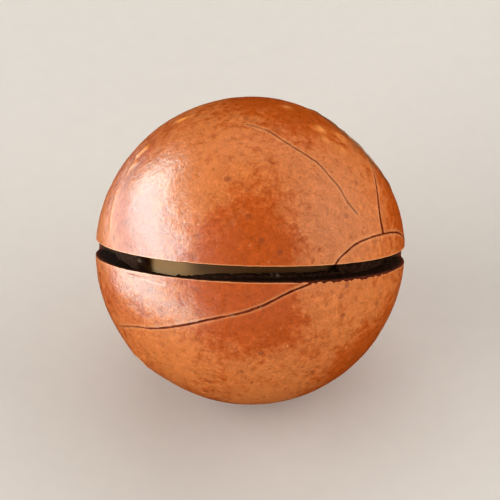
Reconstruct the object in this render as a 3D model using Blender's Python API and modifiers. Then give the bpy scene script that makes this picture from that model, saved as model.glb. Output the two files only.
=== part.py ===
"""A macadamia nut in its shell, sawn for opening, with the loose kernel inside.

The nut rests on a small flat spot at the origin, +Z up. The saw slit faces the front (-Y) and upwards.
Routes over the shell are given in degrees as (right, above) of the direction that faces the viewer.
"""

import math

import bmesh
import bpy
from mathutils import Matrix, Vector

MM = 0.001

# Finishes: linear colour and roughness
SHELL_FINISH = (0.46, 0.16, 0.05), 0.35
KERNEL_FINISH = (0.86, 0.74, 0.50), 0.5

# Driving dimensions
SHELL_DIAMETER = 25.0 * MM
SHELL_WALL = 2.25 * MM
KERNEL_DIAMETER = 19.5 * MM
SLIT_WIDTH = 1.2 * MM
REST_GAP = 0.3 * MM  # between the kernel and the shell that it lies on
FLAT_DEPTH = 0.16 * MM  # how much of the round underside the resting spot takes off

# Direction of the photograph, and the plane that the saw ran in
VIEW_ELEVATION = math.radians(46)
SLIT_ELEVATION = math.radians(36.8)
SLIT_ROLL = math.radians(1.4)
SLIT_ABOVE_MIDDLE = 0.08 * MM

# The scar where the nut hung in its husk; the pore is opposite
SCAR_AZIMUTH = math.radians(39)
SCAR_ELEVATION = math.radians(25)
SCAR_SINK = 0.3 * MM
SCAR_SPREAD = math.radians(21)
PORE_RISE = 0.16 * MM
PORE_SPREAD = math.radians(8)

# The nut turned against a round saw blade: the cut is this deep and ends in the blade's own curve
SAW_RADIUS = 20.0 * MM
SAW_DEPTH = 2.55 * MM
SAW_SWEEP = math.radians(71)  # turned to each side of the slit's middle
SAW_CLEARANCE = 1.5 * MM  # how far the cutter reaches past the skin

# The kernel's point lies under the pore, and a seam parts its two seed leaves
KERNEL_TIP_RISE = 0.6 * MM
CAVITY_TIP_RISE = 0.75 * MM
TIP_SPREAD = math.radians(13)
SEAM_DEPTH = 0.14 * MM
SEAM_SPREAD = math.radians(3)

# Gentle swellings of the shell: the way that each runs, waves across the nut, phase and height
SWELLINGS = (
    (Vector((1.0, 0.2, -0.3)), 2.6, 0.4, 0.07 * MM),
    (Vector((-0.3, 1.0, 0.5)), 3.4, 1.9, 0.05 * MM),
    (Vector((0.4, -0.5, 1.0)), 4.3, 3.0, 0.04 * MM),
)

# Roasting cracks, each with its width, its depth and the route over the shell
CRACKS = {
    "lower": (
        0.20 * MM,
        0.7 * MM,
        (
            *((23, -12), (14, -15.7), (6, -20), (-2, -23), (-14, -25.6), (-28, -28.3)),
            *((-43, -30), (-58, -29.3), (-72, -29)),
        ),
    ),
    "right": (
        0.16 * MM,
        0.6 * MM,
        (
            *((30, -8), (34, -3), (38, 0), (42, 2.3), (49, 4.4), (57.4, 5.8), (65, 6.4)),
            *((74, 6), (83, 4.4), (93, 3), (104, 4), (115, 10)),
        ),
    ),
    "rising": (
        0.16 * MM,
        0.6 * MM,
        ((58, 4), (58.4, 9), (58.5, 13), (60, 19.5), (62.5, 24.5), (65, 30), (70, 37)),
    ),
    "upper": (
        0.12 * MM,
        0.4 * MM,
        (
            *((-2, 54.6), (6, 51.2), (12, 48.3), (20, 42), (28.4, 37.1), (32, 32.8)),
            *((36.2, 26.3), (42.1, 17.8), (45.3, 14.4)),
        ),
    ),
}
CRACK_PIECES_PER_STEP = 3
CRACK_CLEARANCE = 0.4 * MM

# Mesh fineness: sides round the nut and rings from scar to pore
SKIN_SIDES, SKIN_RINGS = 64, 32
CAVITY_SIDES, CAVITY_RINGS = 40, 20
KERNEL_SIDES, KERNEL_RINGS = 48, 24
SAW_STEPS = 40
RUN_OUT_STEPS = 8
WELD = 0.001 * MM  # points nearer than this are one
CREASE_ANGLE = math.radians(35)  # edges sharper than this stay sharp where the skin is shaded smooth

SHELL_RADIUS = SHELL_DIAMETER / 2
CAVITY_RADIUS = SHELL_RADIUS - SHELL_WALL
KERNEL_RADIUS = KERNEL_DIAMETER / 2
NUT_CENTRE = Vector((0, 0, SHELL_RADIUS - FLAT_DEPTH))
KERNEL_DROP = CAVITY_RADIUS - KERNEL_RADIUS - REST_GAP

TO_VIEWER = Vector((0, -math.cos(VIEW_ELEVATION), math.sin(VIEW_ELEVATION)))
VIEW_RIGHT = Vector((1, 0, 0))
VIEW_UP = VIEW_RIGHT.cross(-TO_VIEWER)
TO_SCAR = Vector(
    (
        math.cos(SCAR_ELEVATION) * math.cos(SCAR_AZIMUTH),
        math.cos(SCAR_ELEVATION) * math.sin(SCAR_AZIMUTH),
        math.sin(SCAR_ELEVATION),
    )
)
# Turns a sphere's pole from +Z to the pore; the kernel's seam follows the sphere's first line of vertices
POLE_TURN = (-TO_SCAR).to_track_quat("Z", "Y").to_matrix()
SEAM_NORMAL = POLE_TURN @ Vector((0, 1, 0))


def clear_scene():
    """Removes every object that the file starts with."""
    for obj in list(bpy.data.objects):
        bpy.data.objects.remove(obj)


def new_collection(name):
    """A new collection in the scene."""
    collection = bpy.data.collections.new(name)
    bpy.context.scene.collection.children.link(collection)
    return collection


def new_material(name, colour, roughness):
    """A plain Principled finish."""
    material = bpy.data.materials.new(name)
    material.use_nodes = True
    shader = material.node_tree.nodes["Principled BSDF"]
    shader.inputs["Base Color"].default_value = (*colour, 1)
    shader.inputs["Roughness"].default_value = roughness
    shader.inputs["Metallic"].default_value = 0.0
    return material


def bell(angle, spread):
    """A smooth rise to 1 at angle 0 that has faded by about twice the spread."""
    return math.exp(-((angle / spread) ** 2))


def skin_radius(direction):
    """From the nut's centre to the outside of its shell, along a unit direction."""
    from_scar = direction.angle(TO_SCAR)
    radius = SHELL_RADIUS - SCAR_SINK * bell(from_scar, SCAR_SPREAD)
    radius += PORE_RISE * bell(math.pi - from_scar, PORE_SPREAD)
    for along, waves, phase, height in SWELLINGS:
        radius += height * math.sin(waves * direction.dot(along.normalized()) + phase)
    return radius


def cavity_radius(direction):
    """From the nut's centre to the inside of its shell."""
    return CAVITY_RADIUS + CAVITY_TIP_RISE * bell(direction.angle(-TO_SCAR), TIP_SPREAD)


def kernel_radius(direction):
    """From the kernel's centre to its skin: pointed under the pore and parted by the seam."""
    radius = KERNEL_RADIUS + KERNEL_TIP_RISE * bell(direction.angle(-TO_SCAR), TIP_SPREAD)
    return radius - SEAM_DEPTH * bell(direction.dot(SEAM_NORMAL), math.sin(SEAM_SPREAD))


def new_round_body(name, sides, rings, radius_towards, collection):
    """A sphere whose every vertex is moved to the distance that a formula gives for its direction."""
    mesh = bpy.data.meshes.new(name)
    shape = bmesh.new()
    bmesh.ops.create_uvsphere(shape, u_segments=sides, v_segments=rings, radius=1)
    bmesh.ops.rotate(shape, verts=shape.verts, cent=(0, 0, 0), matrix=POLE_TURN)
    for vertex in shape.verts:
        direction = vertex.co.normalized()
        vertex.co = direction * radius_towards(direction)
    shape.to_mesh(mesh)
    shape.free()
    body = bpy.data.objects.new(name, mesh)
    collection.objects.link(body)
    return body


def flatten_underside(body, height):
    """Takes off what lies under the resting plane, and closes the body there with one flat face."""
    shape = bmesh.new()
    shape.from_mesh(body.data)
    everything = shape.verts[:] + shape.edges[:] + shape.faces[:]
    cut = bmesh.ops.bisect_plane(
        shape, geom=everything, dist=WELD, plane_co=(0, 0, -height), plane_no=(0, 0, 1), clear_inner=True
    )
    rim = [piece for piece in cut["geom_cut"] if isinstance(piece, bmesh.types.BMEdge)]
    bmesh.ops.contextual_create(shape, geom=rim)
    bmesh.ops.recalc_face_normals(shape, faces=shape.faces)
    shape.to_mesh(body.data)
    shape.free()


def saw_outline():
    """The saw's path in its own plane, with the slit's middle at -Y: the cut's floor, then the way out."""
    blade_centre_distance = SHELL_RADIUS + SAW_RADIUS - SAW_DEPTH
    outer = SHELL_RADIUS + SAW_CLEARANCE
    floor = blade_centre_distance - SAW_RADIUS

    def polar(distance, angle):
        return Vector((distance * math.sin(angle), -distance * math.cos(angle), 0))

    points = [
        polar(floor, SAW_SWEEP * (2 * step / SAW_STEPS - 1)) for step in range(SAW_STEPS + 1)
    ]
    # Where the blade's circle crosses the cutter's outer circle, seen from the blade's centre
    crossing = math.acos(
        (blade_centre_distance**2 + SAW_RADIUS**2 - outer**2) / (2 * blade_centre_distance * SAW_RADIUS)
    )

    def run_out(side, step):
        blade_centre = polar(blade_centre_distance, side * SAW_SWEEP)
        inward = -blade_centre.normalized()
        turn = Matrix.Rotation(-side * crossing * step / RUN_OUT_STEPS, 3, "Z")
        return blade_centre + turn @ inward * SAW_RADIUS

    points += [run_out(1, step) for step in range(1, RUN_OUT_STEPS + 1)]
    end_angle = math.atan2(points[-1].x, -points[-1].y)
    points += [
        polar(outer, end_angle * (1 - 2 * step / SAW_STEPS)) for step in range(1, SAW_STEPS)
    ]
    points += [run_out(-1, step) for step in range(RUN_OUT_STEPS, 0, -1)]
    return points


def new_saw_cutter(collection):
    """The slice that the saw takes out: its outline in the slit's plane, as thick as the blade."""
    curve = bpy.data.curves.new("saw_path", "CURVE")
    curve.dimensions = "2D"
    curve.fill_mode = "BOTH"
    curve.extrude = SLIT_WIDTH / 2
    points = saw_outline()
    spline = curve.splines.new("POLY")
    spline.points.add(len(points) - 1)
    for target, point in zip(spline.points, points):
        target.co = (*point, 1)
    spline.use_cyclic_u = True
    flat = bpy.data.objects.new("saw_path", curve)
    tilt = Matrix.Rotation(-SLIT_ELEVATION, 4, "X") @ Matrix.Rotation(SLIT_ROLL, 4, "Y")
    flat.matrix_world = tilt @ Matrix.Translation((0, 0, SLIT_ABOVE_MIDDLE))
    collection.objects.link(flat)
    return meshed(flat, "saw_slice", collection)


def meshed(curve_object, name, collection):
    """The curve as a mesh object in the same place, with its caps welded on."""
    bpy.context.view_layer.update()
    graph = bpy.context.evaluated_depsgraph_get()
    mesh = bpy.data.meshes.new_from_object(curve_object.evaluated_get(graph))
    shape = bmesh.new()
    shape.from_mesh(mesh)
    bmesh.ops.remove_doubles(shape, verts=shape.verts, dist=WELD)
    bmesh.ops.recalc_face_normals(shape, faces=shape.faces)
    shape.to_mesh(mesh)
    shape.free()
    solid = bpy.data.objects.new(name, mesh)
    solid.matrix_world = curve_object.matrix_world
    collection.objects.link(solid)
    bpy.data.objects.remove(curve_object)
    return solid


def direction_at(right, above):
    """The unit direction at these degrees right of and above the one that faces the viewer."""
    turn, rise = math.radians(right), math.radians(above)
    level = math.sin(turn) * VIEW_RIGHT + math.cos(turn) * TO_VIEWER
    return math.cos(rise) * level + math.sin(rise) * VIEW_UP


def smooth_route(corners):
    """Directions along a smooth curve through a crack's corners."""
    way = [direction_at(*corner) for corner in corners]
    way = [2 * way[0] - way[1], *way, 2 * way[-1] - way[-2]]
    route = []
    for before, start, end, after in zip(way, way[1:], way[2:], way[3:]):
        slope = 0.5 * (end - before)
        bend = before - 2.5 * start + 2 * end - 0.5 * after
        twist = 0.5 * (3 * start - before - 3 * end + after)
        for step in range(CRACK_PIECES_PER_STEP):
            t = step / CRACK_PIECES_PER_STEP
            route.append((start + t * (slope + t * (bend + t * twist))).normalized())
    return [*route, way[-2].normalized()]


def new_crack_cutter(name, width, depth, corners, collection):
    """A blade that follows the crack: a ribbon from under the skin to above it, given the crack's width."""
    mesh = bpy.data.meshes.new(name)
    shape = bmesh.new()
    roots = [shape.verts.new(way * (skin_radius(way) - depth)) for way in smooth_route(corners)]
    edges = [shape.edges.new(pair) for pair in zip(roots, roots[1:])]
    raised = bmesh.ops.extrude_edge_only(shape, edges=edges)["geom"]
    for vertex in raised:
        if isinstance(vertex, bmesh.types.BMVert):
            way = vertex.co.normalized()
            vertex.co = way * (skin_radius(way) + CRACK_CLEARANCE)
    bmesh.ops.recalc_face_normals(shape, faces=shape.faces)
    shape.to_mesh(mesh)
    shape.free()
    ribbon = bpy.data.objects.new(name, mesh)
    collection.objects.link(ribbon)
    thicken = ribbon.modifiers.new("width", "SOLIDIFY")
    thicken.thickness = width
    thicken.offset = 0
    return ribbon


def cut(body, cutter, solver):
    """Subtracts a cutter, which then shows only as a wire guide."""
    boolean = body.modifiers.new(cutter.name, "BOOLEAN")
    boolean.operation = "DIFFERENCE"
    boolean.solver = solver
    boolean.object = cutter
    cutter.hide_render = True
    cutter.display_type = "WIRE"


def place(body, parent, offset):
    """Hangs a body on the nut's centre, with its own centre at the offset from there."""
    body.parent = parent
    body.location = offset


def new_shell(nut, centre, cutters):
    """The woody shell: a hollow ball with the saw's slit, the roasting cracks and its resting spot."""
    shell = new_round_body("shell", SKIN_SIDES, SKIN_RINGS, skin_radius, nut)
    flatten_underside(shell, NUT_CENTRE.z)
    cavity = new_round_body("cavity", CAVITY_SIDES, CAVITY_RINGS, cavity_radius, cutters)
    hollows = [(cavity, "EXACT"), (new_saw_cutter(cutters), "EXACT")]
    for name, (width, depth, corners) in CRACKS.items():
        # The exact solver loses the whole shell at the second crack, and the manifold one doesn't
        hollows.append((new_crack_cutter(f"crack_{name}", width, depth, corners, cutters), "MANIFOLD"))
    for cutter, solver in hollows:
        place(cutter, centre, cutter.location.copy())
        cut(shell, cutter, solver)
    shell.data.materials.append(new_material("roasted_shell", *SHELL_FINISH))
    shell.data.shade_smooth()
    shell.data.set_sharp_from_angle(angle=CREASE_ANGLE)
    place(shell, centre, Vector((0, 0, 0)))


def new_kernel(nut, centre):
    """The cream kernel, loose in the shell and lying on its floor."""
    kernel = new_round_body("kernel", KERNEL_SIDES, KERNEL_RINGS, kernel_radius, nut)
    kernel.data.materials.append(new_material("cream_kernel", *KERNEL_FINISH))
    kernel.data.shade_smooth()
    place(kernel, centre, Vector((0, 0, -KERNEL_DROP)))


def main():
    """Builds the nut."""
    clear_scene()
    nut = new_collection("macadamia_nut")
    cutters = new_collection("cutters")
    centre = bpy.data.objects.new("nut_centre", None)
    centre.location = NUT_CENTRE
    nut.objects.link(centre)
    new_shell(nut, centre, cutters)
    new_kernel(nut, centre)


main()
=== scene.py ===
"""The looks of a macadamia nut in its shell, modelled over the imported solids.

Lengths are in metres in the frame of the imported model: +Z up, the nut resting on the origin, its saw
slit facing the front (-Y) and upwards. Routes over the nut are given in degrees as (right, above) of the
direction that faces the viewer. Single spots are given as they are seen from there: shares of the nut's
radius, right and up.
"""

import logging
import math
from collections.abc import Callable, Iterator, Sequence
from contextlib import contextmanager
from dataclasses import dataclass, field
from enum import Enum

import bpy
import numpy as np
from mathutils import Matrix, Vector, kdtree, noise


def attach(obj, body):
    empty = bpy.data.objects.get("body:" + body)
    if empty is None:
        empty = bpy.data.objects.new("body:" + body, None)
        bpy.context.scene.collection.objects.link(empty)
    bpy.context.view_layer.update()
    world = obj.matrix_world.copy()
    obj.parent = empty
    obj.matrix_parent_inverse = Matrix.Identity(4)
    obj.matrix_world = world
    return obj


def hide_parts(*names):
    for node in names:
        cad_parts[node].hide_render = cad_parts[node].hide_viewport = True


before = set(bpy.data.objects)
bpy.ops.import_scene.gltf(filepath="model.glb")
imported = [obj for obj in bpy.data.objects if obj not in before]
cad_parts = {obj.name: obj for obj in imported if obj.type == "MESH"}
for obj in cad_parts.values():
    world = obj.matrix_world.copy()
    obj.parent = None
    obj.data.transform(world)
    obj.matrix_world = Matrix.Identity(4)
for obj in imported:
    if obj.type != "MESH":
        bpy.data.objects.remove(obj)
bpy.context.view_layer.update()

MM = 0.001
log = logging.getLogger("nut")

Array = np.ndarray
Colour = tuple[float, float, float]
Route = tuple[tuple[float, float], ...]


class Slot(Enum):
    """The record's material slots."""

    SHELL = "roasted_shell"
    KERNEL = "cream_kernel"


class Surface(Enum):
    """The shell's own surfaces, numbered as its material slots."""

    SKIN = 0
    SAWN = 1
    LINING = 2
    CRACK = 3


# Directions over the nut


@dataclass(frozen=True)
class View:
    """The direction that the nut is seen from, which its routes and spots are measured from."""

    elevation: float = math.radians(46)

    @property
    def towards(self) -> Vector:
        """From the nut to the viewer."""
        return Vector((0, -math.cos(self.elevation), math.sin(self.elevation)))

    @property
    def right(self) -> Vector:
        """The viewer's right."""
        return Vector((1, 0, 0))

    @property
    def up(self) -> Vector:
        """The viewer's up."""
        return self.right.cross(-self.towards)

    def at_degrees(self, right: float, above: float) -> Vector:
        """Turns degrees over the nut into a direction.

        Args:
            right: degrees right of the viewer's direction.
            above: degrees above it.

        Returns:
            The unit direction.
        """
        turn, rise = math.radians(right), math.radians(above)
        level = math.sin(turn) * self.right + math.cos(turn) * self.towards
        return math.cos(rise) * level + math.sin(rise) * self.up

    def at_spot(self, right: float, up: float) -> Vector:
        """The unit direction of the spot seen at these shares of the radius from the nut's middle."""
        nearer = math.sqrt(max(0.0, 1 - right**2 - up**2))
        return right * self.right + up * self.up + nearer * self.towards


VIEW = View()


def bell(distance: Array | float, spread: float) -> Array | float:
    """1 at distance 0, fading smoothly to nothing by about twice the spread."""
    return np.exp(-((distance / spread) ** 2))


def smooth_step(value: Array, start: float, end: float) -> Array:
    """0 before the start, 1 past the end and a smooth rise between them."""
    share = np.clip((value - start) / (end - start), 0, 1)
    return share * share * (3 - 2 * share)


def angle_between(ways: Array, axis: Vector) -> Array:
    """The angle of each unit direction from an axis."""
    return np.arccos(np.clip(ways @ np.array(axis), -1, 1))


def smooth_route(corners: Route, steps: int) -> list[Vector]:
    """Directions along a smooth curve through a route's corners.

    Args:
        corners: degrees right of and above the viewer's direction.
        steps: how many directions lie between two corners.

    Returns:
        Unit directions from the first corner to the last.
    """
    way = [VIEW.at_degrees(*corner) for corner in corners]
    way = [2 * way[0] - way[1], *way, 2 * way[-1] - way[-2]]
    route = []
    for before, start, end, after in zip(way, way[1:], way[2:], way[3:]):
        slope = 0.5 * (end - before)
        bend = before - 2.5 * start + 2 * end - 0.5 * after
        twist = 0.5 * (3 * start - before - 3 * end + after)
        for step in range(steps):
            t = step / steps
            route.append((start + t * (slope + t * (bend + t * twist))).normalized())
    return [*route, way[-2].normalized()]


# The nut's form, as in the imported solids


@dataclass(frozen=True)
class Swelling:
    """A gentle wave in the shell's roundness."""

    along: Vector
    waves: float
    phase: float
    height: float


@dataclass(frozen=True)
class NutForm:
    """The sizes of the shell, its cavity and its kernel."""

    radius: float = 12.5 * MM
    wall: float = 2.25 * MM
    kernel_radius: float = 9.75 * MM
    kernel_drop: float = 0.2 * MM
    flat_depth: float = 0.16 * MM
    scar_azimuth: float = math.radians(39)
    scar_elevation: float = math.radians(25)
    scar_sink: float = 0.3 * MM
    scar_spread: float = math.radians(21)
    pore_rise: float = 0.16 * MM
    pore_spread: float = math.radians(8)
    kernel_tip_rise: float = 0.6 * MM
    cavity_tip_rise: float = 0.75 * MM
    tip_spread: float = math.radians(13)
    seam_depth: float = 0.14 * MM
    seam_spread: float = math.radians(3)
    relief_allowance: float = 0.045 * MM
    swellings: tuple[Swelling, ...] = (
        Swelling(Vector((1.0, 0.2, -0.3)), 2.6, 0.4, 0.07 * MM),
        Swelling(Vector((-0.3, 1.0, 0.5)), 3.4, 1.9, 0.05 * MM),
        Swelling(Vector((0.4, -0.5, 1.0)), 4.3, 3.0, 0.04 * MM),
    )

    @property
    def centre(self) -> Vector:
        """The middle of the shell."""
        return Vector((0, 0, self.radius - self.flat_depth))

    @property
    def kernel_centre(self) -> Vector:
        """The middle of the kernel, which lies on the shell's floor."""
        return self.centre - Vector((0, 0, self.kernel_drop))

    @property
    def to_scar(self) -> Vector:
        """From the nut's middle to its scar."""
        level = math.cos(self.scar_elevation)
        return Vector(
            (
                level * math.cos(self.scar_azimuth),
                level * math.sin(self.scar_azimuth),
                math.sin(self.scar_elevation),
            )
        )

    @property
    def to_pore(self) -> Vector:
        """From the nut's middle to its pore, opposite the scar."""
        return -self.to_scar

    @property
    def seam_normal(self) -> Vector:
        """The plane between the kernel's two seed leaves faces this way."""
        return self.to_pore.to_track_quat("Z", "Y").to_matrix() @ Vector((0, 1, 0))

    def skin(self, ways: Array) -> Array:
        """Measures the shell's outside, before its fine relief.

        Args:
            ways: unit directions from the middle, one to a row.

        Returns:
            The distance of the skin from the middle along each.
        """
        from_scar = angle_between(ways, self.to_scar)
        distance = self.radius - self.relief_allowance - self.scar_sink * bell(from_scar, self.scar_spread)
        distance = distance + self.pore_rise * bell(math.pi - from_scar, self.pore_spread)
        for swelling in self.swellings:
            across = ways @ np.array(swelling.along.normalized())
            distance = distance + swelling.height * np.sin(swelling.waves * across + swelling.phase)
        return distance

    def cavity(self, ways: Array) -> Array:
        """Distances from the middle to the shell's inside."""
        from_tip = angle_between(ways, self.to_pore)
        return self.radius - self.wall + self.cavity_tip_rise * bell(from_tip, self.tip_spread)

    def kernel(self, ways: Array) -> Array:
        """Measures the kernel's skin, with its tip and its seam.

        Args:
            ways: unit directions from the kernel's middle, one to a row.

        Returns:
            The distance of the kernel's skin from that middle along each.
        """
        from_tip = angle_between(ways, self.to_pore)
        distance = self.kernel_radius + self.kernel_tip_rise * bell(from_tip, self.tip_spread)
        beside_seam = ways @ np.array(self.seam_normal)
        return distance - self.seam_depth * bell(beside_seam, math.sin(self.seam_spread))


# Modelling


def pick_only(piece: bpy.types.Object) -> None:
    """Selects one piece alone and makes it the active one.

    Args:
        piece: the piece.
    """
    bpy.ops.object.select_all(action="DESELECT")
    piece.select_set(True)
    bpy.context.view_layer.objects.active = piece


@contextmanager
def editing(piece: bpy.types.Object, kind: str = "FACE") -> Iterator[None]:
    """Holds a piece in edit mode.

    Args:
        piece: the piece.
        kind: what is picked in it: VERT, EDGE or FACE.

    Yields:
        Nothing, while the piece is in edit mode.
    """
    pick_only(piece)
    bpy.ops.object.mode_set(mode="EDIT")
    bpy.ops.mesh.select_mode(type=kind)
    try:
        yield
    finally:
        bpy.ops.object.mode_set(mode="OBJECT")


def finish_with(piece: bpy.types.Object, kind: str, **settings: object) -> None:
    """Adds a modifier and applies it.

    Args:
        piece: the piece that gets it.
        kind: the modifier's type.
        **settings: the modifier's own settings.
    """
    pick_only(piece)
    bpy.ops.object.modifier_add(type=kind)
    modifier = piece.modifiers[-1]
    for name, value in settings.items():
        setattr(modifier, name, value)
    bpy.ops.object.modifier_apply(modifier=modifier.name)


def points_of(piece: bpy.types.Object) -> Array:
    """Reads a piece's points.

    Args:
        piece: the piece.

    Returns:
        The points, one to a row.
    """
    flat = np.empty(len(piece.data.vertices) * 3, np.float32)
    piece.data.vertices.foreach_get("co", flat)
    return flat.reshape(-1, 3).astype(float)


def move_points(piece: bpy.types.Object, points: Array) -> None:
    """Puts the piece's points at these places."""
    piece.data.vertices.foreach_set("co", points.astype(np.float32).ravel())
    piece.data.update()


def ways_of(points: Array, centre: Vector) -> Array:
    """The unit direction of each point from a centre."""
    out = points - np.array(centre)
    return out / np.linalg.norm(out, axis=1)[:, None]


def new_ball(name: str, fineness: int) -> bpy.types.Object:
    """Adds a unit ball of like triangles at the origin.

    Args:
        name: its name.
        fineness: how often its faces are divided.

    Returns:
        The ball.
    """
    bpy.ops.object.select_all(action="DESELECT")
    bpy.ops.mesh.primitive_ico_sphere_add(subdivisions=fineness, radius=1)
    ball = bpy.context.object
    ball.name = ball.data.name = name
    return ball


def refine(piece: bpy.types.Object, nearness: Callable[[Array], Array]) -> None:
    """Halves the triangles wherever the function of their unit directions is above 0.

    Args:
        piece: a ball about the origin.
        nearness: takes unit directions, one to a row, and gives a number for each.
    """
    middles = np.empty(len(piece.data.polygons) * 3, np.float32)
    piece.data.polygons.foreach_get("center", middles)
    near = nearness(ways_of(middles.reshape(-1, 3).astype(float), Vector())) > 0
    with editing(piece):
        bpy.ops.mesh.select_all(action="DESELECT")
    piece.data.polygons.foreach_set("select", near)
    with editing(piece):
        bpy.ops.mesh.subdivide(number_cuts=1)


class Closeness:
    """Finds how far directions over the nut are from a set of lines, in metres along its surface."""

    def __init__(self, lines: Sequence[Sequence[Vector]], radius: float) -> None:
        """Gathers the lines' points for quick search.

        Args:
            lines: each line's unit directions.
            radius: the nut's radius.
        """
        places = [way for line in lines for way in line]
        self.radius = radius
        self.tree = kdtree.KDTree(len(places))
        for index, way in enumerate(places):
            self.tree.insert(way, index)
        self.tree.balance()

    def distances(self, ways: Array) -> Array:
        """The distance of each unit direction from the nearest line."""
        return self.radius * np.array([self.tree.find(way)[2] for way in ways])


def paint(piece: bpy.types.Object, name: str, values: Array) -> None:
    """Stores a value on each of the piece's points, for its finish to read."""
    layer = piece.data.attributes.new(name, "FLOAT", "POINT")
    layer.data.foreach_set("value", values.astype(np.float32))


def seeded_noise(points: Array, size: float, seed: float) -> Array:
    """Smooth noise from about -1 to 1 with features of the given size."""
    shift = Vector((seed, -seed, 2 * seed))
    return np.array([noise.noise(Vector(point) / size + shift) for point in points])


# Shader graphs


@dataclass(frozen=True)
class Signal:
    """A value in a shader graph. Arithmetic on it adds Math nodes."""

    graph: "Graph"
    socket: bpy.types.NodeSocket

    def _math(self, operation: str, *values: "Signal | float") -> "Signal":
        """Adds a Math node for these values."""
        return self.graph.node("ShaderNodeMath", {"operation": operation}, dict(enumerate(values)))

    def __add__(self, other: "Signal | float") -> "Signal":
        """The sum."""
        return self._math("ADD", self, other)

    def __sub__(self, other: "Signal | float") -> "Signal":
        """The difference."""
        return self._math("SUBTRACT", self, other)

    def __rsub__(self, other: float) -> "Signal":
        """The difference from a number."""
        return self._math("SUBTRACT", other, self)

    def __mul__(self, other: "Signal | float") -> "Signal":
        """The product."""
        return self._math("MULTIPLY", self, other)

    __radd__ = __add__
    __rmul__ = __mul__

    def swing(self, amount: float) -> "Signal":
        """A value from 0 to 1 as a swing of this whole amount about 0."""
        return (self - 0.5) * amount

    def rise(self, start: float, end: float) -> "Signal":
        """Turns the value into a share.

        Args:
            start: the value where the share is 0.
            end: the value where the share is 1, which may be the lower of the two.

        Returns:
            The share, smooth between the two and level past them.
        """
        low, high, first, last = (start, end, 0, 1) if start < end else (end, start, 1, 0)
        values = {"Value": self, "From Min": low, "From Max": high, "To Min": first, "To Max": last}
        return self.graph.node("ShaderNodeMapRange", {"interpolation_type": "SMOOTHSTEP"}, values)


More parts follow.
